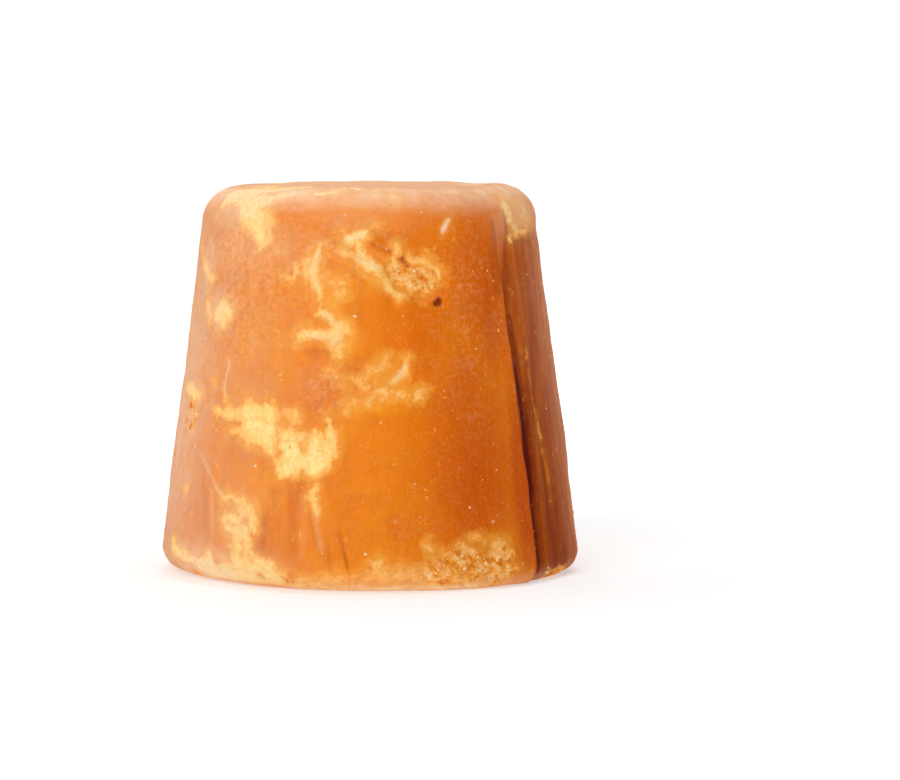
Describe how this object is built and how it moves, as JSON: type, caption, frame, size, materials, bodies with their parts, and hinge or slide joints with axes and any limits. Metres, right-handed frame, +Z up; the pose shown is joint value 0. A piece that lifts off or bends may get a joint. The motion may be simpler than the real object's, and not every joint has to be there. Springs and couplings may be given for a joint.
{
  "type": "jaggery block",
  "caption": "Bucket-shaped block of solid cane jaggery standing on its wide flat end, tapering to a rounded top, with cloth folds down its side and pale crumbly hollows.",
  "frame": {"origin": "middle of the flat base, on the surface that the block stands on", "axes": "+Z up from the wide base to the narrower top; -Y is the side with the largest pale patches; +X is to the right seen from that side, with the deepest cloth fold between -Y and +X"},
  "size_m": [0.1053, 0.1057, 0.0983],
  "materials": {
    "jaggery": "amber, faintly waxy cane sugar with pale dry crystalline patches"
  },
  "bodies": {
    "root": {"jaggery_block": "jaggery"}
  },
  "joints": []
}
